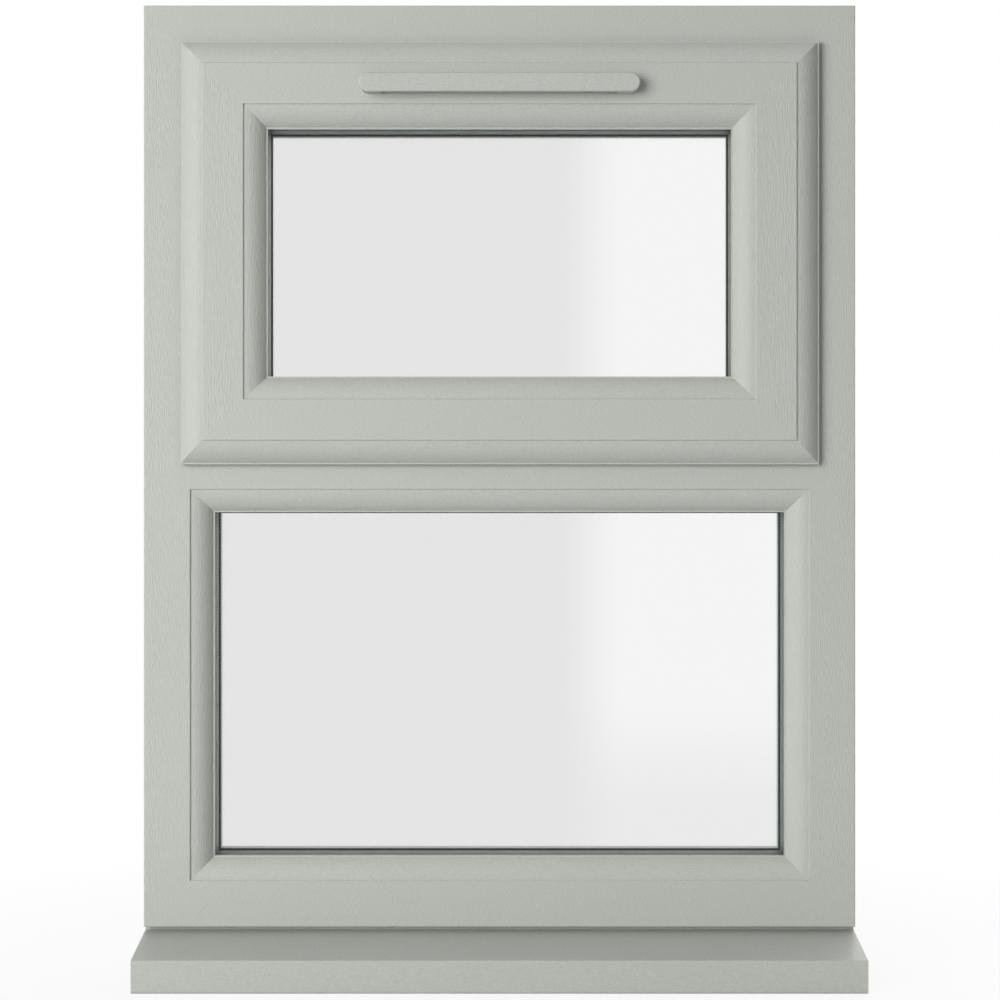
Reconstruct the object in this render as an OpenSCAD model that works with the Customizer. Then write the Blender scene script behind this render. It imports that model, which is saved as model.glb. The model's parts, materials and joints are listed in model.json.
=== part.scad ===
// Top-hung window over a fixed light, with its frame and cill, without the wall.
// Millimetres. X runs right as seen from outside, Y into the room, Z up.
// The origin is the middle of the cill's flat underside, below the outside face of the frame.

/* [Frame] */
// Width over the frame
frame_width = 610; // [540:1:700]
// Height of the frame without the cill
frame_height = 790; // [760:1:900]
// Depth of the frame from outside to inside
frame_depth = 70; // [70:1:80]
// Width of the flat face of a frame member
face_width = 40; // [38:0.5:46]
// Height of the fixed light's rebate
fixed_rebate = 335; // [300:1:345]
// Width of the flat face of the transom
transom_face = 29.5; // [28:0.5:32]
// Thickness of the outer walls of the hollow sections
wall = 2.8; // [2.4:0.1:3]
// Thickness of the webs between chambers
web = 2; // [1.5:0.1:2.4]
// Radius of the outer arrises
arris = 1; // [0.6:0.1:1.1]

/* [Glazing] */
// Width of an ovolo bead, which is the height of the upstand behind the glass
bead_width = 19.5; // [18.5:0.5:20.5]
// Fall of the ovolo from face to tip
ovolo_fall = 10; // [9:0.5:11]
// Small step where an ovolo meets a flat face
quirk = 1.4; // [1.3:0.1:1.8]
// Width of the small flat at the tip of an ovolo
tip = 1.2; // [1:0.1:1.6]
// Distance from a flat face back to the glass
glass_setback = 20; // [19:0.5:21]
// Thickness of one pane
pane = 4; // [3.8:0.1:4.2]
// Gap between the panes
pane_gap = 20; // [18:0.5:20]
// Thickness of a glazing gasket
gasket = 3; // [2.6:0.1:3]
// Gap between the edge of the glass and the rebate
edge_gap = 5; // [4:0.5:5.5]

/* [Sash] */
// Overlap of the sash lip on the face of the frame
lap = 8; // [7:0.5:9]
// Gap for the hardware between sash and frame
hardware_gap = 12; // [12:0.1:12.8]
// Width of the flat face of a sash member
sash_face = 35.5; // [35:0.5:37]
// Distance that the sash face stands in front of the frame face
sash_proud = 18; // [17:0.5:19]
// Gap between the sash lip and the frame face
lip_gap = 3; // [2.6:0.1:3.4]
// Gap between the back of the sash and the upstand
back_gap = 3; // [2.6:0.1:3.4]

/* [Cill] */
// Height of the cill below the frame
cill_height = 30; // [28:1:34]
// Distance that the cill stands out from the frame face
cill_projection = 71; // [66:1:80]
// Distance that the cill runs in behind the frame face
cill_run = 78; // [76:1:84]
// Height of the front of the nose
nose_height = 27.5; // [24:0.5:30]
// Thickness of a cill wall
cill_wall = 2.6; // [2.2:0.1:2.8]
// Thickness of an end cap
cap_thickness = 3; // [2.4:0.2:4]

/* [Stays] */
// Height of the sash body that the three lengths below belong to
stay_height = 321.5; // [300:0.5:340]
// Half the length of a long arm, which is also the length of a short arm
arm = 65; // [64:0.5:66]
// Distance between the two pivots on the sash bar
bar_span = 80; // [79:0.5:81]
// Length of a nose arm
nose_arm_length = 52.4; // [52:0.1:53]
// Distance of the stay's line behind the frame face
stay_line = 14; // [13.5:0.5:15]
// Width of the arms
arm_width = 14; // [13:0.5:15]
// Thickness of the arms
arm_thick = 2; // [1.8:0.1:2]
// Radius of a rivet
rivet = 3; // [2.6:0.1:3.2]
// Running clearance of a rivet in its hole
running = 0.05; // [0.03:0.01:0.08]

/* [Lock] */
// Distance from the sash's lower edge to the spindle
backset = 25.5; // [25:0.1:25.6]
// Distance between the two cams
cam_span = 300; // [260:5:320]
// Travel of the rod for a half turn of the handle
rod_travel = 18.85; // [18:0.05:19.5]
// Length of the handle's lever from the spindle
lever_length = 122; // [110:1:135]

/* [Vent] */
// Length of the canopy
canopy_length = 238; // [230:1:246]
// Height of the canopy
canopy_height = 16.2; // [15:0.2:17]
// Distance that the canopy stands out from the sash
canopy_proud = 13; // [11:0.5:15]

/* [Hidden] */
$fn = 48;
eps = 0.01;
inset = 0.3;
fx = frame_width / 2;
fz0 = cill_height;
fz1 = cill_height + frame_height;
rx = fx - face_width;
fix_z0 = fz0 + face_width;
fix_z1 = fix_z0 + fixed_rebate;
vent_z0 = fix_z1 + transom_face;
vent_z1 = fz1 - face_width;
glass_thick = 2 * pane + pane_gap;
upstand_y = glass_setback + glass_thick + gasket;
lip_width = lap + hardware_gap;
sx = rx + lap;
sz0 = vent_z0 - lap;
sz1 = vent_z1 + lap;
bx = sx - lip_width;
bz0 = sz0 + lip_width;
bz1 = sz1 - lip_width;
gx = bx - sash_face;
gz0 = bz0 + sash_face;
gz1 = bz1 - sash_face;
sash_back = upstand_y - back_gap;
sash_y = -sash_proud;
bead_depth = glass_setback - gasket;
chamber_front = 14;
groove_y = 8;
groove_width = 3;
groove_depth = 1.6;
foot_ease = 0.2;
slot_width = 12;
slot_depth = 3;
steel = 1.5;
seal_height = 6.3;
spacer_reach = bead_width - edge_gap - 0.2;
track_height = 4.8;
track_base = 1.5;
track_width = 18;
track_lip = 1.2;
lip_reach = 3;
layer_gap = (hardware_gap - track_height - 3 * arm_thick) / 3;
short_x = rx - track_height - layer_gap;
long_x = short_x - arm_thick - layer_gap;
bar_x = bx + arm_thick;
top_pin_z = bz1 - 15.5;
stay_scale = (bz1 - bz0) / stay_height;
reach = arm * stay_scale;
span = bar_span * stay_scale;
pivot_z = top_pin_z - span;
nose_z = top_pin_z - nose_arm_length * stay_scale;
slider_z = pivot_z - 2 * reach;
elbow_z = pivot_z - reach;
track_z0 = slider_z - 26;
track_z1 = top_pin_z + 8;
bar_z0 = pivot_z - 1.4 * reach;
bar_z1 = top_pin_z + 9;
slider_length = 22;
slack = 0.55;
screw_shank = 2;
screw_head = 3.6;
screw_head_high = 1.2;
sunk_depth = 1.6;
track_screws = [track_z0 + 7, elbow_z + 0.28 * reach, nose_z + 14, top_pin_z + 1];
bar_screws = [bar_z0 + 8, pivot_z - 0.65 * reach, pivot_z + span / 2];
spindle_z = bz0 + backset;
case_half = 42;
case_thick = 11.4;
case_top = backset + 7;
plate_thick = 2;
plate_half = cam_span / 2 + 45;
rod_half = cam_span / 2 + 18;
rod_thick = 2.4;
rod_wide = 9.6;
cam_radius = 4;
cam_long = 7.6;
hub = 5.6;
square_bar = 7;
keep_plate = 2;
keep_half = 24;
hook_thick = 3;
keep_screw = 16;
hook_half = 9;
hook_y = stay_line - cam_radius - 0.5 - hook_thick;
hook_high = hardware_gap - plate_thick - 2;
base_thick = 14;
base_half = 65;
base_high = 28;
neck = 9;
grip_y = sash_back + base_thick + 14;
grip_thick = 12;
grip_wide = 20;
grip_ease = 4.5;
base_ease = 4;
button_radius = 4;
canopy_z = bz1 - 19;
canopy_ease = 1.4;
slot_half = canopy_length / 2 - 19;
slot_high = 10;
flap_half = slot_half + 4;
slot_z = canopy_z - 0.5;
vent_half = flap_half + 18;
vent_high = 21;
vent_deep = 11;
vent_z = canopy_z - 2;
flap_high = 11;
flap_thick = 2;
flap_pin = 1.2;
flap_y = sash_back + vent_deep - 2.6;
flap_z = vent_z - flap_high / 2;
step_y = 11;
step_down = 4;
nose_depth = 19;
nose_top = cill_height / 2;
nose_bottom = nose_top - nose_height;
nose_round = 2;
fixing_radius = 4;
fixing_low = fz0 + 150;
fixing_high = fz1 - 150;
fixing_y = 36;

// A flat block of the section with eased corners
module soft_block(size, r) {
    translate([r, 0]) square([size[0] - 2 * r, size[1]]);
    translate([0, r]) square([size[0], size[1] - 2 * r]);
    for (i = [r, size[0] - r], j = [r, size[1] - r]) {
        translate([i, j]) circle(r);
    }
}

// A convex quarter that leaves the face level and falls to its tip, with a skirt behind it
module ovolo(run, fall, skirt) {
    radius = (run * run + fall * fall) / (2 * fall);
    intersection() {
        translate([0, radius]) circle(radius);
        square([run, fall + skirt]);
    }
}

module chamber(a0, a1, y0, y1) {
    translate([a0, y0]) square([a1 - a0, y1 - y0]);
}

module bead_groove(a, y) {
    translate([a - groove_depth, y]) square([groove_depth + eps, groove_width]);
}

// Half of the frame's section: the box, the upstand on the room side and their chambers
module frame_section() {
    difference() {
        union() {
            soft_block([face_width, frame_depth], arris);
            translate([wall, upstand_y]) {
                soft_block([face_width + bead_width - wall, frame_depth - upstand_y], arris);
            }
        }
        chamber(wall, face_width - wall, wall, chamber_front);
        chamber(wall, face_width - wall, chamber_front + web, upstand_y - wall);
        chamber(wall, face_width - wall, upstand_y, frame_depth - wall);
        chamber(face_width, face_width + bead_width - wall, upstand_y + wall, frame_depth - wall);
        bead_groove(face_width, groove_y);
    }
}

module transom_section() {
    tall = transom_face + 2 * bead_width;
    difference() {
        union() {
            soft_block([transom_face, frame_depth], arris);
            translate([-bead_width, upstand_y]) soft_block([tall, frame_depth - upstand_y], arris);
        }
        chamber(wall, transom_face - wall, wall, chamber_front);
        chamber(wall, transom_face - wall, chamber_front + web, upstand_y - wall);
        chamber(wall, transom_face - wall, upstand_y, frame_depth - wall);
        chamber(wall - bead_width, 0, upstand_y + wall, frame_depth - wall);
        translate([transom_face, 0]) chamber(0, bead_width - wall, upstand_y + wall, frame_depth - wall);
        bead_groove(transom_face, groove_y);
        translate([groove_depth, 0]) bead_groove(0, groove_y);
    }
}

// The sash section from its lip inwards: ovolo lip, box, upstand, hardware slot and chambers
module sash_section() {
    deep = sash_back - sash_y;
    lip_skirt = sash_proud - quirk - ovolo_fall - lip_gap;
    up = sash_y + upstand_y;
    face1 = lip_width + sash_face;
    slot_floor = lip_width + slot_depth;
    difference() {
        union() {
            translate([lip_width + eps, sash_y + quirk]) mirror([1, 0]) {
                ovolo(lip_width - tip + eps, ovolo_fall, lip_skirt);
            }
            translate([0, -lip_gap - lip_skirt]) square([tip + eps, lip_skirt]);
            translate([lip_width, sash_y]) soft_block([sash_face, deep], arris);
            translate([lip_width + wall, up]) {
                soft_block([sash_face + bead_width - wall, sash_back - up], arris);
            }
        }
        chamber(lip_width + wall, face1 - wall, sash_y + wall, -lip_gap - wall);
        chamber(slot_floor + wall, face1 - wall, -lip_gap + web - wall, up - wall);
        chamber(lip_width + wall, face1 - wall, up, sash_back - wall);
        chamber(face1, face1 + bead_width - wall, up + wall, sash_back - wall);
        translate([lip_width - eps, stay_line - slot_width / 2]) square([slot_depth + eps, slot_width]);
        bead_groove(face1, sash_y + groove_y);
    }
}

// A glazing bead measured from the rebate: ovolo, tip, clip foot and chamber
module bead_section() {
    run = bead_width - tip;
    skirt = bead_depth - quirk - ovolo_fall;
    foot = groove_depth - foot_ease;
    difference() {
        union() {
            translate([0, quirk]) ovolo(run + eps, ovolo_fall, skirt);
            translate([run, quirk + ovolo_fall]) square([tip, skirt]);
            translate([-foot, groove_y + foot_ease]) {
                square([foot + eps, groove_width - 2 * foot_ease]);
            }
        }
        chamber(web, run * 0.65, quirk + ovolo_fall * 0.68, bead_depth - web);
    }
}

// One member with mitred ends: the section is measured inwards from its outer edge
module mitred(length, a0, a1, y0, y1) {
    intersection() {
        linear_extrude(length - 2 * min(a0, 0), center = true) children();
        translate([0, y1, 0]) rotate([90, 0, 0]) linear_extrude(y1 - y0) polygon([
            [a0, -length / 2 + a0], [a1, -length / 2 + a1],
            [a1, length / 2 - a1], [a0, length / 2 - a0]
        ]);
    }
}

module on_bottom(z) {
    translate([0, 0, z]) rotate([0, -90, 0]) children();
}

module on_top(z) {
    translate([0, 0, z]) rotate([0, 90, 0]) children();
}

module on_left(x, z) {
    translate([-x, 0, z]) children();
}

module on_right(x, z) {
    translate([x, 0, z]) rotate([0, 180, 0]) children();
}

module frame_member(length) {
    mitred(length, 0, face_width + bead_width, 0, frame_depth) frame_section();
}

module sash_member(length) {
    mitred(length, 0, lip_width + sash_face + bead_width, sash_y, sash_back) sash_section();
}

module bead_member(length) {
    mitred(length, -groove_depth, bead_width, 0, bead_depth) bead_section();
}

// A flat sheet over an opening, and a band round its edge
module sheet(hx, z0, z1, inward, y, t) {
    translate([inward - hx, y, z0 + inward]) cube([2 * (hx - inward), t, z1 - z0 - 2 * inward]);
}

module band(hx, z0, z1, outer, inner, y, t) {
    difference() {
        sheet(hx, z0, z1, outer, y, t);
        sheet(hx, z0, z1, inner, y - eps, t + 2 * eps);
    }
}

module both_sides() {
    children();
    mirror([1, 0, 0]) children();
}

// A round bar along X, from x0 towards the middle of the window, on the right-hand side
module pin(x0, x1, r, y, z) {
    translate([min(x0, x1), y, z]) rotate([0, 90, 0]) cylinder(h = abs(x0 - x1), r = r);
}

module fixing_holes(r) {
    for (z = [fixing_low, fixing_high]) {
        pin(rx - eps, fx + eps, r, fixing_y, z);
    }
}

module track_holes() {
    for (z = track_screws) {
        pin(rx - eps, rx + wall + 0.2, screw_shank + running, stay_line, z);
    }
}

module right_jamb_body() {
    difference() {
        on_right(fx, (fz0 + fz1) / 2) frame_member(frame_height);
        fixing_holes(fixing_radius);
        track_holes();
        transom_point();
    }
}

module frame_head() {
    color([0.71, 0.72, 0.69]) on_top(fz1) frame_member(frame_width);
}

module frame_left_jamb() {
    color([0.71, 0.72, 0.69]) mirror([1, 0, 0]) right_jamb_body();
}

module frame_right_jamb() {
    color([0.71, 0.72, 0.69]) right_jamb_body();
}

module frame_bottom_rail() {
    color([0.71, 0.72, 0.69]) on_bottom(fz0) frame_member(frame_width);
}

// A wedge on the right-hand side, where the transom's front is let into the jamb
module transom_point() {
    half = transom_face / 2;
    translate([rx, chamber_front, fix_z1 + half]) rotate([90, 0, 0]) linear_extrude(chamber_front + eps) {
        polygon([[-1, -half - 1], [half, 0], [-1, half + 1]]);
    }
}

module transom_bar() {
    tall = transom_face + 2 * bead_width;
    intersection() {
        translate([0, 0, fix_z1]) rotate([0, -90, 0]) {
            linear_extrude(2 * rx + transom_face, center = true) transom_section();
        }
        union() {
            translate([-rx, 0, fix_z1 - bead_width]) cube([2 * rx, upstand_y, tall]);
            translate([bead_width - rx, 0, fix_z1 - bead_width]) {
                cube([2 * (rx - bead_width), frame_depth, tall]);
            }
            both_sides() transom_point();
        }
    }
}

module transom() {
    color([0.71, 0.72, 0.69]) difference() {
        transom_bar();
        for (x = [-cam_span / 2, cam_span / 2], s = [-1, 1]) {
            translate([x + rod_travel + s * keep_screw, stay_line + 2, vent_z0 - wall - 0.2]) {
                cylinder(h = wall + 0.2 + eps, r = screw_shank + running);
            }
        }
    }
}

// A box of galvanised steel along Z
module steel_bar(size, length) {
    linear_extrude(length, center = true) difference() {
        square(size);
        translate([steel, steel]) square([size[0] - 2 * steel, size[1] - 2 * steel]);
    }
}

module frame_reinforcement() {
    wide = face_width - 2 * (wall + 3.5);
    deep = upstand_y - wall - chamber_front - web - 2 * inset;
    color([0.6, 0.62, 0.63]) {
        both_sides() difference() {
            translate([fx - wall - 3.5 - wide, chamber_front + web + inset, (fz0 + fz1) / 2]) {
                steel_bar([wide, deep], frame_height - 2 * (face_width + bead_width));
            }
            for (z = [fixing_low, fixing_high]) {
                pin(rx, fx, fixing_radius + 1, fixing_y, z);
            }
        }
        translate([0, 0, fix_z1]) rotate([0, -90, 0]) {
            translate([wall + inset, chamber_front + web + inset, 0]) {
                steel_bar([transom_face - 2 * (wall + inset), deep], 2 * (rx - face_width));
            }
        }
    }
}

module frame_weather_seal() {
    color([0.07, 0.07, 0.07]) {
        band(rx, vent_z0, vent_z1, hardware_gap + 2, bead_width - 0.4, sash_back + 0.4, back_gap - 0.4);
    }
}

// Top surface of the cill at a distance y behind the frame face
function cill_top(y) = nose_top
    + (cill_height - step_down - nose_top) * (y + cill_projection) / (step_y + cill_projection);

function turn(y, z, from, steps) = [
    for (i = [0:steps]) [y, z] + nose_round * [cos(from + 90 * i / steps), sin(from + 90 * i / steps)]
];

module cill_outline() {
    polygon(concat(
        [[cill_run, 0], [cill_run, cill_height], [step_y, cill_height],
         [step_y, cill_height - step_down]],
        turn(nose_round - cill_projection, cill_top(nose_round - cill_projection) - nose_round, 90, 6),
        turn(nose_round - cill_projection, nose_bottom + nose_round, 180, 6),
        [[nose_depth - cill_projection, nose_bottom], [nose_depth - cill_projection, 0]]
    ));
}

// One hollow of the cill between two distances, under the slope or under the seat
module cill_hollow(y0, y1, floor, ease) {
    polygon([
        [y0 + ease, floor + ease], [y1 - ease, floor + ease],
        [y1 - ease, (y1 > step_y ? cill_height : cill_top(y1)) - cill_wall - ease],
        [y0 + ease, (y0 > step_y ? cill_height : cill_top(y0)) - cill_wall - ease]
    ]);
}

module cill_hollows(ease) {
    nose_back = nose_depth - cill_projection;
    middle = (nose_back + step_y) / 2;
    seat = (step_y + cill_run) / 2;
    cill_hollow(cill_wall - cill_projection, nose_back - cill_wall, nose_bottom + 2 * cill_wall, ease);
    cill_hollow(nose_back, middle - cill_wall / 2, cill_wall, ease);
    cill_hollow(middle + cill_wall / 2, step_y - cill_wall, cill_wall, ease);
    cill_hollow(step_y + cill_wall, seat - cill_wall / 2, cill_wall, ease);
    cill_hollow(seat + cill_wall / 2, cill_run - cill_wall, cill_wall, ease);
}

module along_x(length) {
    rotate([90, 0, 90]) linear_extrude(length, center = true) children();
}

module drip_groove(length) {
    translate([-length / 2, nose_depth / 2 - cill_projection, nose_bottom]) {
        rotate([0, 90, 0]) cylinder(h = length, r = cill_wall * 0.8);
    }
}

module cill() {
    color([0.71, 0.72, 0.69]) difference() {
        along_x(frame_width - 2 * cap_thickness) difference() {
            cill_outline();
            cill_hollows(0);
        }
        drip_groove(frame_width);
    }
}

module cill_cap() {
    plug = 8;
    difference() {
        union() {
            translate([fx - cap_thickness / 2, 0, 0]) along_x(cap_thickness) cill_outline();
            translate([fx - cap_thickness - plug / 2, 0, 0]) along_x(plug + eps) intersection() {
                cill_hollows(inset);
                translate([0, cill_wall]) square([cill_run, cill_height]);
            }
        }
        drip_groove(2 * frame_width);
    }
}

module cill_left_cap() {
    color([0.71, 0.72, 0.69]) mirror([1, 0, 0]) cill_cap();
}

module cill_right_cap() {
    color([0.71, 0.72, 0.69]) cill_cap();
}

// The sealed unit: two panes, spacer, edge seal, blocks and gaskets, at the face level y
module outer_pane(hx, z0, z1, y) {
    color([0.86, 0.92, 0.9, 0.35]) sheet(hx, z0, z1, edge_gap, y + glass_setback, pane);
}

module inner_pane(hx, z0, z1, y) {
    color([0.86, 0.92, 0.9, 0.35]) {
        sheet(hx, z0, z1, edge_gap, y + glass_setback + pane + pane_gap, pane);
    }
}

module spacer_bar(hx, z0, z1, y) {
    color([0.55, 0.57, 0.56]) {
        band(hx, z0, z1, edge_gap + seal_height, edge_gap + spacer_reach,
            y + glass_setback + pane, pane_gap);
    }
}

module edge_seal(hx, z0, z1, y) {
    color([0.05, 0.05, 0.05]) {
        band(hx, z0, z1, edge_gap, edge_gap + seal_height, y + glass_setback + pane, pane_gap);
    }
}

module setting_blocks(hx, z0, y) {
    block = 60;
    color([0.2, 0.35, 0.6]) both_sides() {
        translate([hx / 2 - block / 2, y + glass_setback, z0]) cube([block, glass_thick, edge_gap]);
    }
}

module outer_gasket(hx, z0, z1, y) {
    color([0.06, 0.06, 0.06]) {
        band(hx, z0, z1, bead_width - 6.5, bead_width - 0.3, y + bead_depth, gasket);
    }
}

module inner_gasket(hx, z0, z1, y) {
    color([0.06, 0.06, 0.06]) {
        band(hx, z0, z1, bead_width - 6.5, bead_width + 1, y + glass_setback + glass_thick, gasket);
    }
}

module fixed_outer_pane() {
    outer_pane(rx, fix_z0, fix_z1, 0);
}

module fixed_inner_pane() {
    inner_pane(rx, fix_z0, fix_z1, 0);
}

module fixed_spacer_bar() {
    spacer_bar(rx, fix_z0, fix_z1, 0);
}

module fixed_edge_seal() {
    edge_seal(rx, fix_z0, fix_z1, 0);
}

module fixed_setting_blocks() {
    setting_blocks(rx, fix_z0, 0);
}

module fixed_outer_gasket() {
    outer_gasket(rx, fix_z0, fix_z1, 0);
}

module fixed_inner_gasket() {
    inner_gasket(rx, fix_z0, fix_z1, 0);
}

module fixed_bead_top() {
    color([0.71, 0.72, 0.69]) on_top(fix_z1) bead_member(2 * rx);
}

module fixed_bead_bottom() {
    color([0.71, 0.72, 0.69]) on_bottom(fix_z0) bead_member(2 * rx);
}

module fixed_bead_left() {
    color([0.71, 0.72, 0.69]) on_left(rx, (fix_z0 + fix_z1) / 2) bead_member(fixed_rebate);
}

module fixed_bead_right() {
    color([0.71, 0.72, 0.69]) on_right(rx, (fix_z0 + fix_z1) / 2) bead_member(fixed_rebate);
}

module sash_outer_pane() {
    outer_pane(gx, gz0, gz1, sash_y);
}

module sash_inner_pane() {
    inner_pane(gx, gz0, gz1, sash_y);
}

module sash_spacer_bar() {
    spacer_bar(gx, gz0, gz1, sash_y);
}

module sash_edge_seal() {
    edge_seal(gx, gz0, gz1, sash_y);
}

module sash_setting_blocks() {
    setting_blocks(gx, gz0, sash_y);
}

module sash_outer_gasket() {
    outer_gasket(gx, gz0, gz1, sash_y);
}

module sash_inner_gasket() {
    inner_gasket(gx, gz0, gz1, sash_y);
}

module sash_bead_top() {
    color([0.71, 0.72, 0.69]) translate([0, sash_y, 0]) on_top(gz1) bead_member(2 * gx);
}

module sash_bead_bottom() {
    color([0.71, 0.72, 0.69]) translate([0, sash_y, 0]) on_bottom(gz0) bead_member(2 * gx);
}

module sash_bead_left() {
    color([0.71, 0.72, 0.69]) translate([0, sash_y, 0]) {
        on_left(gx, (gz0 + gz1) / 2) bead_member(gz1 - gz0);
    }
}

module sash_bead_right() {
    color([0.71, 0.72, 0.69]) translate([0, sash_y, 0]) {
        on_right(gx, (gz0 + gz1) / 2) bead_member(gz1 - gz0);
    }
}

// The top rail with the slot that the vent needs through all its walls
module sash_top_rail() {
    color([0.71, 0.72, 0.69]) difference() {
        on_top(sz1) sash_member(2 * sx);
        translate([-slot_half, sash_y - eps, slot_z - slot_high / 2]) {
            cube([2 * slot_half, sash_back - sash_y + 2 * eps, slot_high]);
        }
    }
}

// The bottom rail with the pocket for the lock case and the hole for the spindle
module sash_bottom_rail() {
    color([0.71, 0.72, 0.69]) difference() {
        on_bottom(sz0) sash_member(2 * sx);
        translate([-case_half - inset, stay_line - case_thick / 2 - inset, bz0]) {
            cube([2 * (case_half + inset), case_thick + 2 * inset, case_top + inset]);
        }
        translate([0, stay_line, spindle_z]) rotate([-90, 0, 0]) {
            cylinder(h = sash_back - stay_line + eps, r = hub + 1);
        }
        for (s = [-1, 1]) {
            translate([s * (base_half - 15), sash_back - wall - eps, spindle_z]) rotate([-90, 0, 0]) {
                cylinder(h = wall + 2 * eps, r = screw_shank + running);
            }
        }
    }
}

module right_stile_body() {
    difference() {
        on_right(sx, (sz0 + sz1) / 2) sash_member(sz1 - sz0);
        for (z = bar_screws) {
            pin(bx + eps, bx - slot_depth - wall - eps, screw_shank + running, stay_line, z);
        }
    }
}

module sash_left_stile() {
    color([0.71, 0.72, 0.69]) mirror([1, 0, 0]) right_stile_body();
}

module sash_right_stile() {
    color([0.71, 0.72, 0.69]) right_stile_body();
}

module sash_reinforcement() {
    wide = sash_face - 2 * wall - slot_depth - 2 * inset - 4;
    deep = sash_y + upstand_y - wall - web - inset;
    color([0.6, 0.62, 0.63]) both_sides() {
        translate([gx + wall + inset, web, (gz0 + gz1) / 2]) {
            steel_bar([wide, deep], gz1 - gz0);
        }
    }
}

module sash_weather_seal() {
    color([0.07, 0.07, 0.07]) {
        band(sx, sz0, sz1, 1, lap - 1, -lip_gap, lip_gap - 0.4);
    }
}

// The canopy outside: a hood with rounded ends, closed at the top and open below
module canopy_plan(length, high, deep) {
    r = high / 2;
    translate([0, sash_y, canopy_z]) rotate([90, 0, 0]) linear_extrude(deep) {
        square([length - 2 * r, high], center = true);
        for (s = [-1, 1]) {
            translate([s * (length / 2 - r), 0]) circle(r);
        }
    }
}

module vent_canopy() {
    skin = 1.6;
    r = canopy_height / 2;
    color([0.71, 0.72, 0.69]) difference() {
        translate([r - canopy_length / 2, sash_y, canopy_z]) rotate([90, 0, 0]) {
            pill(canopy_length - 2 * r, r, canopy_proud, canopy_ease, true);
        }
        translate([0, eps, 0]) {
            canopy_plan(canopy_length - 2 * skin, canopy_height - 2 * skin, canopy_proud - skin);
        }
        translate([-slot_half, sash_y - canopy_proud + skin + 1, canopy_z - canopy_height / 2 - eps]) {
            cube([2 * slot_half, canopy_proud - skin - 3, skin + 2 * eps]);
        }
    }
}

// The body on the room side: a frame round the air way with a land for the flap's pins
module vent_body() {
    skin = 1.8;
    color([0.71, 0.72, 0.69]) difference() {
        translate([-vent_half, sash_back + vent_deep, vent_z - vent_high / 2]) rotate([90, 0, 0]) {
            linear_extrude(vent_deep) soft_block([2 * vent_half, vent_high], 3);
        }
        translate([-vent_half + skin, sash_back - eps, vent_z - vent_high / 2 + skin]) {
            cube([2 * (vent_half - skin), vent_deep - 2 * skin - flap_thick, vent_high - 2 * skin]);
        }
        translate([-flap_half - inset, sash_back, flap_z - flap_pin - inset]) {
            cube([2 * (flap_half + inset), vent_deep + eps, flap_high + flap_pin + 2 * inset]);
        }
        for (s = [-1, 1]) {
            translate([s * (flap_half + 2), flap_y, flap_z]) rotate([0, 90, 0]) {
                cylinder(h = 6, r = flap_pin + running, center = true);
            }
        }
    }
}

module vent_flap() {
    color([0.71, 0.72, 0.69]) {
        translate([-flap_half, flap_y - flap_thick / 2, flap_z]) {
            cube([2 * flap_half, flap_thick, flap_high - 0.6]);
        }
        translate([-flap_half - 4, flap_y, flap_z]) rotate([0, 90, 0]) {
            cylinder(h = 2 * (flap_half + 4), r = flap_pin);
        }
        translate([-14, flap_y + flap_thick / 2 - eps, flap_z + flap_high - 3.4]) cube([28, 2.4, 2.4]);
    }
}

// Case and face plate of the lock, with slots for the cams
module lock_case() {
    color([0.66, 0.67, 0.68]) difference() {
        union() {
            translate([-case_half, stay_line - case_thick / 2, bz0 + slot_depth]) {
                cube([2 * case_half, case_thick, case_top - slot_depth]);
            }
            translate([-plate_half, stay_line - track_width / 2, bz0 - plate_thick]) {
                cube([2 * plate_half, track_width, plate_thick]);
            }
            for (s = [-1, 1]) {
                translate([s * (case_half - 3) - 3, stay_line - slot_width / 2 + inset, bz0 - eps]) {
                    cube([6, 1, slot_depth + 2 * eps]);
                }
            }
        }
        translate([0, stay_line - case_thick / 2 - eps, spindle_z]) rotate([-90, 0, 0]) {
            cylinder(h = case_thick + 2 * eps, r = hub + running);
        }
        for (x = [-cam_span / 2, cam_span / 2]) {
            translate([x - cam_radius - 1, stay_line - cam_radius - 0.4, bz0 - plate_thick - eps]) {
                cube([rod_travel + 2 * (cam_radius + 1), 2 * (cam_radius + 0.4), plate_thick + 2 * eps]);
            }
        }
    }
}

// The rod at the unlocked end of its travel, with both cams
module lock_rod() {
    color([0.72, 0.73, 0.74]) {
        translate([-rod_half, stay_line - rod_wide / 2 + 0.8, bz0 + inset]) {
            cube([2 * rod_half, rod_wide - 0.8, rod_thick]);
        }
        for (x = [-cam_span / 2, cam_span / 2]) {
            translate([x, stay_line, bz0 + inset - cam_long]) cylinder(h = cam_long + eps, r = cam_radius);
        }
    }
}

// A plate on the transom with a hook in front of the locked cam
module keep() {
    difference() {
        union() {
            translate([-keep_half, hook_y, 0]) cube([2 * keep_half, 22, keep_plate]);
            translate([-hook_half, hook_y, 0]) cube([2 * hook_half, hook_thick, hook_high]);
        }
        for (s = [-1, 1]) {
            translate([s * keep_screw, stay_line + 2, -eps]) {
                cylinder(h = keep_plate + 2 * eps, r = screw_shank + running);
            }
        }
    }
}

module keeps() {
    color([0.7, 0.71, 0.72]) for (x = [-cam_span / 2, cam_span / 2]) {
        translate([x + rod_travel, 0, vent_z0]) keep();
    }
}

// Cross section of a pill: eased on its face, and on its back too unless it has a foot
module pill_section(r, high, ease, foot) {
    below = foot ? ease : 0;
    intersection() {
        translate([-r, -below]) soft_block([2 * r, high + below], ease);
        translate([-r, 0]) square([2 * r, high]);
    }
}

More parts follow.
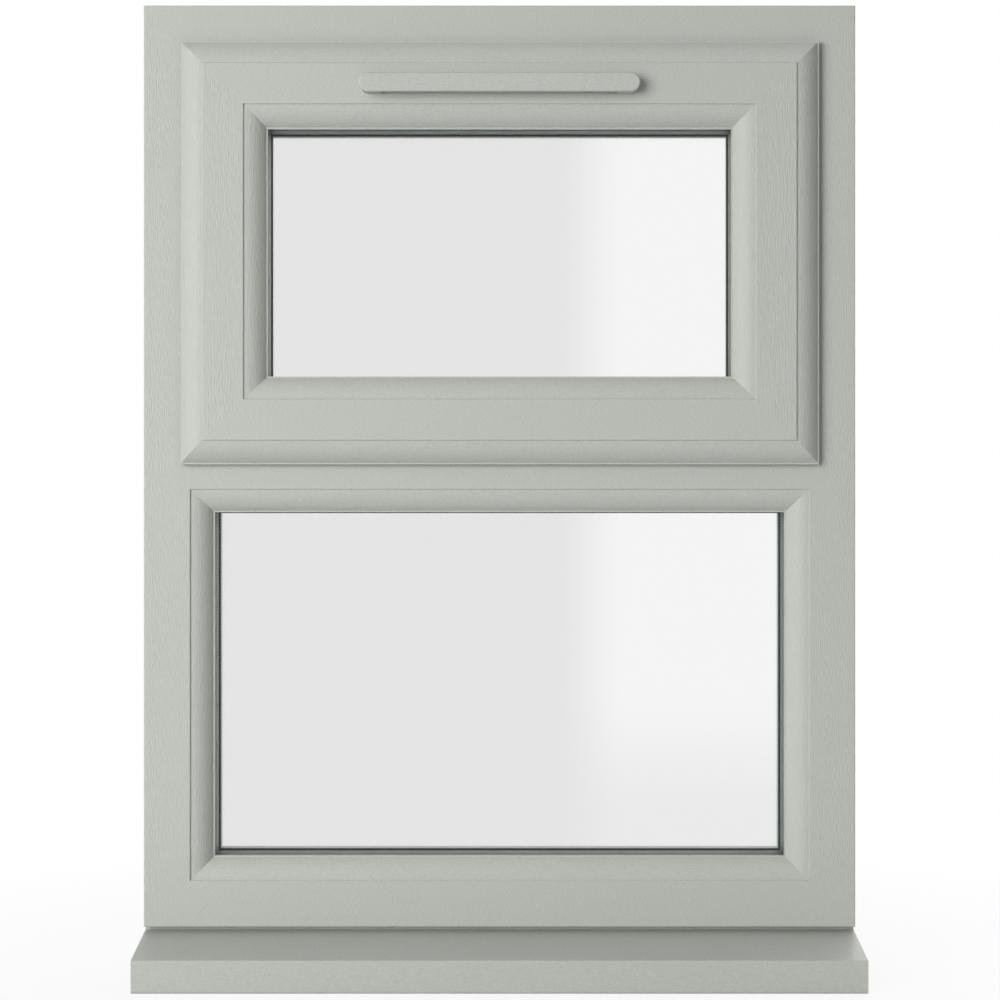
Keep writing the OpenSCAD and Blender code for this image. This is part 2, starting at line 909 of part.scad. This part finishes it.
// A bar along X with round ends and eased edges, standing on the plane of z 0
module pill(long, r, high, ease, foot) {
    rotate([90, 0, 90]) linear_extrude(long) pill_section(r, high, ease, foot);
    for (x = [0, long]) {
        translate([x, 0, 0]) rotate_extrude() intersection() {
            pill_section(r, high, ease, foot);
            square([r, high]);
        }
    }
}

module handle_base() {
    r = base_high / 2;
    half = base_half - r;
    color([0.75, 0.76, 0.77]) difference() {
        translate([-half, sash_back, spindle_z]) rotate([-90, 0, 0]) {
            pill(2 * half, r, base_thick, base_ease, true);
        }
        translate([0, sash_back - eps, spindle_z]) rotate([-90, 0, 0]) {
            cylinder(h = base_thick + 2 * eps, r = neck + running);
        }
        for (s = [-1, 1]) {
            translate([s * (base_half - 15), sash_back - eps, spindle_z]) rotate([-90, 0, 0]) {
                cylinder(h = base_thick + 2 * eps, r = screw_shank + running);
                translate([0, 0, base_thick - screw_head_high]) {
                    cylinder(h = screw_head_high + 3 * eps, r = screw_head + 0.2);
                }
            }
        }
    }
}

// The lever lies along the rail at rest, released, and half a turn over the top locks it
module handle_lever() {
    low = sash_back + base_thick - 8;
    long = lever_length - grip_wide / 2;
    color([0.75, 0.76, 0.77]) difference() {
        union() {
            translate([0, low, spindle_z]) rotate([-90, 0, 0]) {
                cylinder(h = grip_y + grip_thick / 2 - low, r = neck);
            }
            translate([-long, grip_y, spindle_z]) rotate([-90, 0, 0]) {
                pill(long, grip_wide / 2, grip_thick, grip_ease, false);
            }
        }
        translate([-square_bar / 2 - 0.1, low - eps, spindle_z - square_bar / 2 - 0.1]) {
            cube([square_bar + 0.2, 14, square_bar + 0.2]);
        }
        translate([0, grip_y + grip_thick - 6, spindle_z]) rotate([-90, 0, 0]) {
            cylinder(h = 6 + eps, r = button_radius + running);
        }
    }
}

module handle_spindle() {
    color([0.68, 0.69, 0.7]) {
        translate([0, stay_line - case_thick / 2, spindle_z]) rotate([-90, 0, 0]) {
            cylinder(h = case_thick, r = hub);
        }
        translate([-square_bar / 2, stay_line, spindle_z - square_bar / 2]) {
            cube([square_bar, sash_back + base_thick - 8 + 13 - stay_line, square_bar]);
        }
    }
}

module lock_button() {
    color([0.5, 0.51, 0.52]) translate([0, grip_y + grip_thick - 2.4, spindle_z]) rotate([-90, 0, 0]) {
        cylinder(h = 5.6, r = button_radius);
    }
}

// Fixed track of a stay: lipped channel with the two fixed pivots
module stay_track() {
    edge = stay_line - track_width / 2;
    long = track_z1 - track_z0;
    inner = track_height - track_lip - track_base;
    difference() {
        translate([rx - track_height, edge, track_z0]) cube([track_height, track_width, long]);
        translate([rx - track_height + track_lip, edge + track_lip, track_z0 - eps]) {
            cube([inner, track_width - 2 * track_lip, long + 2 * eps]);
        }
        translate([rx - track_height - eps, edge + lip_reach, track_z0 - eps]) {
            cube([track_lip + 2 * eps, track_width - 2 * lip_reach, long + 2 * eps]);
        }
        for (z = track_screws) {
            pin(rx - track_base - eps, rx + eps, screw_shank + running, stay_line, z);
        }
    }
    pin(rx - track_base + eps, short_x, rivet + 1.4, stay_line, pivot_z);
    pin(short_x + eps, short_x - arm_thick + 0.1, rivet, stay_line, pivot_z);
    pin(rx - track_base + eps, long_x, rivet + 1.4, stay_line, nose_z);
    pin(long_x + eps, long_x - arm_thick + 0.1, rivet, stay_line, nose_z);
}

module left_stay_track() {
    color([0.72, 0.73, 0.74]) mirror([1, 0, 0]) stay_track();
}

module right_stay_track() {
    color([0.72, 0.73, 0.74]) stay_track();
}

// A flat arm along Z between two pivots
module flat_arm(x, z0, z1) {
    translate([x - arm_thick, stay_line - arm_width / 2, z0]) cube([arm_thick, arm_width, z1 - z0]);
    for (z = [z0, z1]) {
        pin(x - arm_thick, x, arm_width / 2, stay_line, z);
    }
}

module hole(x, z, ease) {
    pin(x - arm_thick - eps, x + eps, rivet + ease, stay_line, z);
}

module short_arms() {
    color([0.74, 0.75, 0.76]) both_sides() difference() {
        flat_arm(short_x, elbow_z, pivot_z);
        hole(short_x, pivot_z, running);
        hole(short_x, elbow_z, running);
    }
}

module long_arms() {
    color([0.76, 0.77, 0.78]) both_sides() {
        difference() {
            flat_arm(long_x, slider_z, pivot_z);
            hole(long_x, pivot_z, running);
            hole(long_x, slider_z, running);
        }
        pin(long_x - eps, short_x - 0.1, rivet, stay_line, elbow_z);
    }
}

module nose_arms() {
    color([0.74, 0.75, 0.76]) both_sides() difference() {
        flat_arm(long_x, nose_z, top_pin_z);
        hole(long_x, nose_z, running);
        hole(long_x, top_pin_z, slack);
    }
}

// Countersunk head of a screw in a sash bar, with room round it and above it
module sunk_head(ease, above, z) {
    translate([bar_x - sunk_depth, stay_line, z]) rotate([0, 90, 0]) {
        cylinder(h = sunk_depth + above, r1 = screw_shank + ease, r2 = screw_head + ease);
    }
}

module sash_bars() {
    color([0.72, 0.73, 0.74]) both_sides() {
        difference() {
            translate([bx, stay_line - track_width / 2, bar_z0]) {
                cube([arm_thick, track_width, bar_z1 - bar_z0]);
            }
            for (z = bar_screws) {
                pin(bx - eps, bar_x + eps, screw_shank + running, stay_line, z);
                sunk_head(0.1 + running, eps, z);
            }
        }
        pin(bar_x - eps, long_x - 0.1, rivet, stay_line, pivot_z);
        pin(bar_x - eps, long_x - 0.1, rivet, stay_line, top_pin_z);
    }
}

// A sliding block under the lips of the track, with the pivot of the long arm
module stay_sliders() {
    floor_x = rx - track_base - inset;
    lip_x = rx - track_height;
    shoe_x = lip_x + track_lip + inset;
    shoe = track_width - 2 * (track_lip + inset);
    stem = track_width - 2 * (lip_reach + inset);
    color([0.2, 0.2, 0.21]) both_sides() {
        translate([shoe_x, stay_line - shoe / 2, slider_z - slider_length / 2]) {
            cube([floor_x - shoe_x, shoe, slider_length]);
        }
        translate([lip_x, stay_line - stem / 2, slider_z - slider_length / 2]) {
            cube([shoe_x - lip_x + eps, stem, slider_length]);
        }
        pin(lip_x + eps, long_x + layer_gap, rivet + 1.4, stay_line, slider_z);
        pin(lip_x + eps, long_x - arm_thick + 0.1, rivet, stay_line, slider_z);
    }
}

// A screw along X on the right-hand side, with its head on a plate at x
module screw(x, tip_x, z) {
    out = sign(x - tip_x) * screw_head_high;
    pin(x, x + out, screw_head, stay_line, z);
    pin(x, tip_x, screw_shank, stay_line, z);
}

module frame_screws() {
    color([0.7, 0.71, 0.72]) {
        both_sides() for (z = track_screws) {
            screw(rx - track_base, rx + wall, z);
        }
        for (x = [-cam_span / 2, cam_span / 2], s = [-1, 1]) {
            translate([x + rod_travel + s * keep_screw, stay_line + 2, vent_z0 - wall]) {
                cylinder(h = wall + keep_plate, r = screw_shank);
                translate([0, 0, wall + keep_plate]) cylinder(h = screw_head_high, r = screw_head);
            }
        }
    }
}

module sash_screws() {
    color([0.7, 0.71, 0.72]) {
        both_sides() for (z = bar_screws) {
            sunk_head(0, 0, z);
            pin(bar_x - sunk_depth + eps, bx - slot_depth - wall - 1, screw_shank, stay_line, z);
        }
        for (s = [-1, 1]) {
            translate([s * (base_half - 15), sash_back - wall - 1, spindle_z]) rotate([-90, 0, 0]) {
                cylinder(h = wall + 1 + base_thick - screw_head_high, r = screw_shank);
                translate([0, 0, wall + 1 + base_thick - screw_head_high]) {
                    cylinder(h = screw_head_high, r = screw_head);
                }
            }
        }
    }
}

frame_head();
frame_left_jamb();
frame_right_jamb();
frame_bottom_rail();
transom();
frame_reinforcement();
frame_weather_seal();
cill();
cill_left_cap();
cill_right_cap();
fixed_outer_pane();
fixed_inner_pane();
fixed_spacer_bar();
fixed_edge_seal();
fixed_setting_blocks();
fixed_bead_top();
fixed_bead_bottom();
fixed_bead_left();
fixed_bead_right();
fixed_outer_gasket();
fixed_inner_gasket();
keeps();
left_stay_track();
right_stay_track();
frame_screws();
sash_top_rail();
sash_bottom_rail();
sash_left_stile();
sash_right_stile();
sash_reinforcement();
sash_weather_seal();
sash_outer_pane();
sash_inner_pane();
sash_spacer_bar();
sash_edge_seal();
sash_setting_blocks();
sash_bead_top();
sash_bead_bottom();
sash_bead_left();
sash_bead_right();
sash_outer_gasket();
sash_inner_gasket();
vent_canopy();
vent_body();
vent_flap();
lock_case();
lock_rod();
handle_base();
handle_lever();
handle_spindle();
lock_button();
sash_bars();
sash_screws();
short_arms();
long_arms();
nose_arms();
stay_sliders();
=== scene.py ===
"""A top-hung window in grey woodgrain foil: finishes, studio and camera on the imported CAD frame."""

import json
import math

import bpy
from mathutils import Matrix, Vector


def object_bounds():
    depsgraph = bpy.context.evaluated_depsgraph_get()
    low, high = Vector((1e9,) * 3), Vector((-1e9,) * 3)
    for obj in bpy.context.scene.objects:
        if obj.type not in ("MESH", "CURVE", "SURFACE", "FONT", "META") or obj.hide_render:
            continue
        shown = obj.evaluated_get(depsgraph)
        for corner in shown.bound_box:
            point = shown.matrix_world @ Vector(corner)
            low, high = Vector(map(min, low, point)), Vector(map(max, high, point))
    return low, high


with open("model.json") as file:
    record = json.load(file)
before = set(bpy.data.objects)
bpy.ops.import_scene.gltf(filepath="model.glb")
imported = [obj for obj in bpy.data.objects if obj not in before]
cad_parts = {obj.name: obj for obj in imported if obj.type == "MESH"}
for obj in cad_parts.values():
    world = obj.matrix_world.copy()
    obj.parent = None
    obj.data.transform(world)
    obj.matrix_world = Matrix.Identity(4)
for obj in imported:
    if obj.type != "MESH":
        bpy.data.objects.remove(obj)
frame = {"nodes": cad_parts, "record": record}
cad_low, cad_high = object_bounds()
scene = bpy.context.scene

# Lengths are in metres, colours are linear, and a pattern's scale is in features to the metre.
X_AXIS, Z_AXIS = 0, 2
WHITE = (1, 1, 1)

FOIL_GREY = (0.472, 0.489, 0.451)
FOIL_IOR = 1.40
FOIL_GROOVE_ROUGH, FOIL_RIDGE_ROUGH = 0.46, 0.36
FOIL_RELIEF_HEIGHT = 0.00017
UPRIGHT_NAMES = ("jamb", "stile", "bead_left", "bead_right")

GLASS_TINT = (0.964, 0.966, 0.964)
GLASS_SHADOW_TINT = (0.93, 0.95, 0.94)
GLASS_IOR = 1.42

RUBBER_DARK, RUBBER_PALE = (0.007, 0.007, 0.007), (0.022, 0.022, 0.021)

SPACER_HOLE = (0.02, 0.025, 0.022)
SPACER_DARK, SPACER_PALE = (0.120, 0.152, 0.134), (0.158, 0.190, 0.172)
SPACER_HOLES_TO_METRE = 330

SPANGLE_DARK, SPANGLE_PALE = (0.36, 0.38, 0.40), (0.58, 0.60, 0.62)
SPANGLES_TO_METRE = 120

PACKER_DARK, PACKER_PALE = (0.03, 0.09, 0.24), (0.045, 0.115, 0.29)
STAINLESS_DARK, STAINLESS_PALE = (0.50, 0.50, 0.50), (0.64, 0.645, 0.65)
ZINC_DARK, ZINC_PALE = (0.46, 0.47, 0.48), (0.58, 0.59, 0.60)
CHROME_DARK, CHROME_PALE = (0.47, 0.475, 0.48), (0.52, 0.525, 0.53)
SLIDER_DARK, SLIDER_PALE = (0.028, 0.028, 0.03), (0.042, 0.042, 0.045)

# Strengths of the surround, by the kind of ray that meets it.
BACKGROUND = 1.0
LIGHT_FRONT_LOW, LIGHT_FRONT_HIGH, LIGHT_REAR = 0.17, 0.46, 0.6
MIRROR_FRONT, MIRROR_REAR_LOW, MIRROR_REAR_HIGH = 0.1, 0.55, 1.0
# Painted reflection: seen through the glass, the surround is greyer on the left and at the lower
# right, so the glass looks lighter on the right as if it reflected a bright light there.
GLASS_VIEW_LEFT_PAINTED_SHADE, SEEN_RIGHT, GLASS_VIEW_LOW_RIGHT_PAINTED_SHADE = 0.86, 1.0, 0.91

FLOOR_RADIUS = 1.6
FLOOR_COLOUR = (0.7, 0.7, 0.7)
FLOOR_NEAR_WHITE, FLOOR_FAR_WHITE = 0.88, 1.0
FLOOR_FADE_RADIUS_SQUARED = 0.6

LAMP_AIM = (0, 0, 0.42)
KEY_PLACE, KEY_SIZE, KEY_WATTS = (-2.36, -3.00, 0.95), (2.4, 2.4), 139
KEY_COLOUR = (1.0, 0.999, 0.997)
SHEEN_WATTS = 70
FILL_PLACE, FILL_SIZE, FILL_WATTS = (1.75, -2.40, 0.30), (1.6, 1.6), 3
ROOM_PLACE, ROOM_SIZE, ROOM_WATTS = (2.0, 2.6, 1.30), (3.0, 2.6), 48

CAMERA_PLACE = (0.0004, -2.0, 0.396)
CAMERA_LENS_MM, CAMERA_SENSOR_MM = 84.0, 36


class Finish:
    """A material with one Principled shader, and short calls that add nodes to it."""

    def __init__(self, name, colour=(0.5, 0.5, 0.5), rough=0.5, metal=0.0):
        self.material = bpy.data.materials.new(name)
        self.material.use_nodes = True
        self.tree = self.material.node_tree
        self.shader = self.tree.nodes["Principled BSDF"]
        self.shader.inputs["Base Color"].default_value = (*colour, 1)
        self.shader.inputs["Roughness"].default_value = rough
        self.shader.inputs["Metallic"].default_value = metal

    def add(self, kind, **settings):
        node = self.tree.nodes.new(kind)
        for key, value in settings.items():
            setattr(node, key, value)
        return node

    def join(self, out, into):
        self.tree.links.new(out, into)

    def place(self, scale):
        """Object coordinates times a scale for each axis."""
        coords = self.add("ShaderNodeTexCoord")
        mapping = self.add("ShaderNodeMapping")
        mapping.inputs["Scale"].default_value = scale
        self.join(coords.outputs["Object"], mapping.inputs["Vector"])
        return mapping.outputs["Vector"]

    def noise(self, scale, detail, rough):
        """Noise with that many features to the metre along each axis."""
        node = self.add("ShaderNodeTexNoise")
        node.inputs["Scale"].default_value = 1.0
        node.inputs["Detail"].default_value = detail
        node.inputs["Roughness"].default_value = rough
        self.join(self.place(scale), node.inputs["Vector"])
        return node.outputs["Fac"]

    def cells(self, scale, randomness=1.0):
        """Cells with that many to the metre."""
        node = self.add("ShaderNodeTexVoronoi", feature="F1")
        node.inputs["Scale"].default_value = 1.0
        node.inputs["Randomness"].default_value = randomness
        self.join(self.place(scale), node.inputs["Vector"])
        return node

    def remap(self, value, start, end, low, high):
        """A value from start to end becomes one from low to high."""
        node = self.add("ShaderNodeMapRange")
        names = ("From Min", "From Max", "To Min", "To Max")
        for key, number in zip(names, (start, end, low, high)):
            node.inputs[key].default_value = number
        self.join(value, node.inputs["Value"])
        return node.outputs["Result"]

    def math(self, operation, a, b):
        node = self.add("ShaderNodeMath", operation=operation)
        for socket, value in zip(node.inputs, (a, b)):
            if isinstance(value, (int, float)):
                socket.default_value = value
            else:
                self.join(value, socket)
        return node.outputs[0]

    def blend(self, a, share_a, b, share_b):
        first, second = self.math("MULTIPLY", a, share_a), self.math("MULTIPLY", b, share_b)
        return self.math("ADD", first, second)

    def ramp(self, value, *stops):
        """A colour ramp from (position, colour) stops."""
        node = self.add("ShaderNodeValToRGB")
        marks = node.color_ramp.elements
        while len(marks) < len(stops):
            marks.new(0.5)
        for mark, (at, colour) in zip(marks, stops):
            mark.position = at
            mark.color = (*colour, 1)
        self.join(value, node.inputs["Fac"])
        return node.outputs["Color"]

    def colour(self, socket):
        self.join(socket, self.shader.inputs["Base Color"])

    def roughness(self, socket):
        self.join(socket, self.shader.inputs["Roughness"])

    def bump(self, height, strength, distance):
        node = self.add("ShaderNodeBump")
        node.inputs["Strength"].default_value = strength
        node.inputs["Distance"].default_value = distance
        self.join(height, node.inputs["Height"])
        self.join(node.outputs["Normal"], self.shader.inputs["Normal"])

    def surface(self, factor, other):
        """Shows another shader in place of the Principled one where the factor is 1."""
        mix = self.add("ShaderNodeMixShader")
        self.join(factor, mix.inputs["Fac"])
        self.join(self.shader.outputs["BSDF"], mix.inputs[1])
        self.join(other, mix.inputs[2])
        self.join(mix.outputs["Shader"], self.tree.nodes["Material Output"].inputs["Surface"])


def shade(colour, factor):
    return tuple(channel * factor for channel in colour)


def even(scale):
    """The same scale along each axis."""
    return (scale, scale, scale)


def stretched(axis, along, across):
    """One scale along an axis and another across it."""
    return tuple(along if index == axis else across for index in range(3))


def foil(name, axis, along, across, contrast, relief):
    """Grey foil with an embossed woodgrain: short fine grooves that run along the member."""
    finish = Finish(name)
    grain = finish.noise(stretched(axis, along, across), 2, 0.5)
    height = finish.remap(grain, 0.36, 0.64, 0.0, 1.0)
    groove, ridge = shade(FOIL_GREY, 1 - contrast), shade(FOIL_GREY, 1 + contrast)
    finish.colour(finish.ramp(height, (0.0, groove), (0.5, FOIL_GREY), (1.0, ridge)))
    finish.roughness(finish.remap(height, 0.0, 1.0, FOIL_GROOVE_ROUGH, FOIL_RIDGE_ROUGH))
    finish.bump(height, relief, FOIL_RELIEF_HEIGHT)
    finish.shader.inputs["IOR"].default_value = FOIL_IOR
    return finish.material


def glass():
    """Clear float glass with a very slow ripple. Light from lamps passes straight through."""
    finish = Finish("clear_glass", GLASS_TINT, rough=0.0)
    finish.shader.inputs["Transmission Weight"].default_value = 1.0
    finish.shader.inputs["IOR"].default_value = GLASS_IOR
    ripple = finish.noise(even(2.2), 1, 0.4)
    finish.bump(ripple, 0.05, 0.0004)
    clear = finish.add("ShaderNodeBsdfTransparent")
    clear.inputs["Color"].default_value = (*GLASS_SHADOW_TINT, 1)
    path = finish.add("ShaderNodeLightPath")
    finish.surface(path.outputs["Is Shadow Ray"], clear.outputs["BSDF"])
    return finish.material


def rubber():
    """Black rubber with a fine speck and a faint bloom."""
    finish = Finish("black_rubber")
    speck = finish.noise(even(900), 4, 0.6)
    bloom = finish.noise(even(26), 3, 0.5)
    tone = finish.blend(speck, 0.45, bloom, 0.55)
    finish.colour(finish.ramp(tone, (0.3, RUBBER_DARK), (0.7, RUBBER_PALE)))
    finish.roughness(finish.remap(tone, 0.3, 0.7, 0.52, 0.74))
    finish.bump(speck, 0.25, 0.0002)
    return finish.material


def spacer():
    """The matt grey bar between the panes, with the fine pricked holes of its inner face."""
    finish = Finish("spacer_bar", metal=0.25)
    pricks = finish.cells(even(SPACER_HOLES_TO_METRE), randomness=0.0)
    bar = finish.remap(pricks.outputs["Distance"], 0.16, 0.24, 0.0, 1.0)
    film = finish.noise(even(60), 3, 0.5)
    tone = finish.math("MULTIPLY", bar, finish.remap(film, 0.3, 0.7, 0.8, 1.0))
    finish.colour(finish.ramp(tone, (0.0, SPACER_HOLE), (0.8, SPACER_DARK), (1.0, SPACER_PALE)))
    finish.roughness(finish.remap(film, 0.3, 0.7, 0.42, 0.58))
    finish.bump(bar, 0.3, 0.0002)
    return finish.material


def galvanised():
    """Zinc-dipped steel with its spangle."""
    finish = Finish("galvanised_steel", metal=1.0)
    spangle = finish.cells(even(SPANGLES_TO_METRE))
    split = finish.add("ShaderNodeSeparateColor")
    finish.join(spangle.outputs["Color"], split.inputs["Color"])
    tone = split.outputs["Red"]
    finish.colour(finish.ramp(tone, (0.0, SPANGLE_DARK), (1.0, SPANGLE_PALE)))
    finish.roughness(finish.remap(tone, 0.0, 1.0, 0.34, 0.52))
    finish.bump(spangle.outputs["Distance"], 0.08, 0.0002)
    return finish.material


def brushed(name, axis, dark, pale, rough):
    """Metal brushed along one axis."""
    finish = Finish(name, metal=1.0)
    line = finish.noise(stretched(axis, 14, 2600), 3, 0.6)
    cloud = finish.noise(even(45), 3, 0.5)
    tone = finish.blend(line, 0.6, cloud, 0.4)
    finish.colour(finish.ramp(tone, (0.3, dark), (0.7, pale)))
    finish.roughness(finish.remap(tone, 0.3, 0.7, rough - 0.06, rough + 0.07))
    finish.bump(line, 0.12, 0.0001)
    return finish.material


def plated(name, dark, pale, rough):
    """A plated die casting: a satin skin with a faint orange peel."""
    finish = Finish(name, metal=1.0)
    peel = finish.noise(even(420), 2, 0.5)
    cloud = finish.noise(even(38), 3, 0.5)
    finish.colour(finish.ramp(cloud, (0.3, dark), (0.7, pale)))
    finish.roughness(finish.remap(cloud, 0.3, 0.7, rough - 0.05, rough + 0.06))
    finish.bump(peel, 0.04, 0.0002)
    return finish.material


def moulded(name, dark, pale, rough):
    """Moulded plastic with a fine spark-eroded skin."""
    finish = Finish(name)
    grit = finish.noise(even(1300), 3, 0.6)
    cloud = finish.noise(even(30), 2, 0.5)
    finish.colour(finish.ramp(cloud, (0.3, dark), (0.7, pale)))
    finish.roughness(finish.remap(grit, 0.3, 0.7, rough - 0.07, rough + 0.07))
    finish.bump(grit, 0.2, 0.00015)
    return finish.material


level_foil = foil("grey_foil_level", X_AXIS, along=420, across=1500, contrast=0.060, relief=0.3)
upright_foil = foil(
    "grey_foil_upright", Z_AXIS, along=135, across=1200, contrast=0.030, relief=0.87,
)
slots = {
    "glass": glass(),
    "black_rubber": rubber(),
    "spacer": spacer(),
    "galvanised_steel": galvanised(),
    "packer_plastic": moulded("packer_plastic", PACKER_DARK, PACKER_PALE, rough=0.5),
    "stainless": brushed("satin_stainless", Z_AXIS, STAINLESS_DARK, STAINLESS_PALE, rough=0.32),
    "zinc": plated("plated_zinc", ZINC_DARK, ZINC_PALE, rough=0.36),
    "satin_chrome": plated("satin_chrome", CHROME_DARK, CHROME_PALE, rough=0.30),
    "slider_plastic": moulded("slider_plastic", SLIDER_DARK, SLIDER_PALE, rough=0.5),
}


def finish_for(node, slot):
    """The slot's finish. The foil's grain follows the member."""
    if slot == "grey_foil":
        return upright_foil if any(word in node for word in UPRIGHT_NAMES) else level_foil
    return slots[slot]


for part in frame["record"]["subparts"]:
    mesh = frame["nodes"][part["node"]].data
    mesh.materials.clear()
    mesh.materials.append(finish_for(part["node"], part["material_slot"]))


def softbox(name, place, size, watts, colour=WHITE, diffuse=True, glossy=True):
    """A large soft lamp turned to the window's middle, unseen by the camera and through the glass.
    It can be left out of the plain light or out of the gloss."""
    lamp = bpy.data.lights.new(name, "AREA")
    lamp.shape = "RECTANGLE"
    lamp.size, lamp.size_y = size
    lamp.energy = watts
    lamp.color = colour
    thing = bpy.data.objects.new(name, lamp)
    thing.location = place
    dx, dy, dz = (to - start for to, start in zip(LAMP_AIM, place))
    thing.rotation_euler = (math.atan2(math.hypot(dx, dy), -dz), 0, math.atan2(-dx, dy))
    thing.visible_camera = False
    thing.visible_transmission = False
    thing.visible_diffuse = diffuse
    thing.visible_glossy = glossy
    scene.collection.objects.link(thing)


def studio():
    """A surround that is white to look at, dim in front so that the key lamp models the edges, and,
    as a painted reflection, greyer when seen through the left and the lower right of the glass."""
    world = bpy.data.worlds.new("studio")
    world.use_nodes = True
    scene.world = world
    tree = world.node_tree
    tree.nodes.clear()

    def node(kind, **settings):
        made = tree.nodes.new(kind)
        for key, value in settings.items():
            setattr(made, key, value)
        return made

    def surround(strength):
        made = node("ShaderNodeBackground")
        made.inputs["Color"].default_value = (*WHITE, 1)
        made.inputs["Strength"].default_value = strength
        return made

    def mix(factor, a, b):
        made = node("ShaderNodeMixShader")
        tree.links.new(factor, made.inputs["Fac"])
        tree.links.new(a.outputs[0], made.inputs[1])
        tree.links.new(b.outputs[0], made.inputs[2])
        return made

    def smooth(value, start, end):
        made = node("ShaderNodeMapRange", interpolation_type="SMOOTHSTEP")
        made.inputs["From Min"].default_value = start
        made.inputs["From Max"].default_value = end
        tree.links.new(value, made.inputs["Value"])
        return made.outputs["Result"]

    axes = node("ShaderNodeSeparateXYZ")
    tree.links.new(node("ShaderNodeTexCoord").outputs["Generated"], axes.inputs[0])
    x, y, z = axes.outputs["X"], axes.outputs["Y"], axes.outputs["Z"]
    rear = smooth(y, -0.05, 0.3)

    front = mix(smooth(z, 0.0, 0.8), surround(LIGHT_FRONT_LOW), surround(LIGHT_FRONT_HIGH))
    light = mix(rear, front, surround(LIGHT_REAR))

    mirror_rear = mix(smooth(z, -0.3, 0.5), surround(MIRROR_REAR_LOW), surround(MIRROR_REAR_HIGH))
    mirrored = mix(rear, surround(MIRROR_FRONT), mirror_rear)

    # Painted reflection through the glass: the surround is greyer on the left and at the lower right.
    through_glass_right_painted_reflection = mix(smooth(z, -0.135, -0.08), surround(GLASS_VIEW_LOW_RIGHT_PAINTED_SHADE), surround(SEEN_RIGHT))
    through_glass_painted_reflection = mix(smooth(x, 0.022, 0.055), surround(GLASS_VIEW_LEFT_PAINTED_SHADE), through_glass_right_painted_reflection)

    path = node("ShaderNodeLightPath")
    final = mix(path.outputs["Is Glossy Ray"], light, mirrored)
    final = mix(path.outputs["Is Transmission Ray"], final, through_glass_painted_reflection)
    final = mix(path.outputs["Is Camera Ray"], final, surround(BACKGROUND))
    out = node("ShaderNodeOutputWorld")
    tree.links.new(final.outputs[0], out.inputs["Surface"])


def floor():
    """A pale round floor that keeps the window's shadow and fades into the white surround."""
    bpy.ops.mesh.primitive_circle_add(
        vertices=96, radius=FLOOR_RADIUS, fill_type="NGON", location=(0, 0, cad_low[2]),
    )
    disc = bpy.context.object
    disc.name = "floor"
    disc.visible_glossy = False
    disc.visible_transmission = False
    finish = Finish("pale_floor", FLOOR_COLOUR, rough=0.6)
    axes = finish.add("ShaderNodeSeparateXYZ")
    finish.join(finish.place(even(1)), axes.inputs[0])
    x, y = axes.outputs["X"], axes.outputs["Y"]
    away = finish.math("ADD", finish.math("MULTIPLY", x, x), finish.math("MULTIPLY", y, y))
    white = finish.remap(away, 0.0, FLOOR_FADE_RADIUS_SQUARED, FLOOR_NEAR_WHITE, FLOOR_FAR_WHITE)
    path = finish.add("ShaderNodeLightPath")
    glow = finish.add("ShaderNodeEmission")
    to_camera = finish.math("MULTIPLY", white, path.outputs["Is Camera Ray"])
    finish.surface(to_camera, glow.outputs["Emission"])
    disc.data.materials.append(finish.material)


studio()
floor()
# The key lamp's gloss is weaker than its light, so that a face seen edge-on doesn't clip to white.
softbox("key", KEY_PLACE, KEY_SIZE, KEY_WATTS, KEY_COLOUR, glossy=False)
softbox("sheen", KEY_PLACE, KEY_SIZE, SHEEN_WATTS, KEY_COLOUR, diffuse=False)
softbox("fill", FILL_PLACE, FILL_SIZE, FILL_WATTS)
softbox("room", ROOM_PLACE, ROOM_SIZE, ROOM_WATTS)

camera = bpy.data.objects.new("camera", bpy.data.cameras.new("camera"))
camera.data.sensor_width = CAMERA_SENSOR_MM
camera.data.lens = CAMERA_LENS_MM
camera.location = CAMERA_PLACE
camera.rotation_euler = (math.radians(90), 0, 0)
scene.collection.objects.link(camera)
scene.camera = camera
scene.view_settings.view_transform = "Standard"
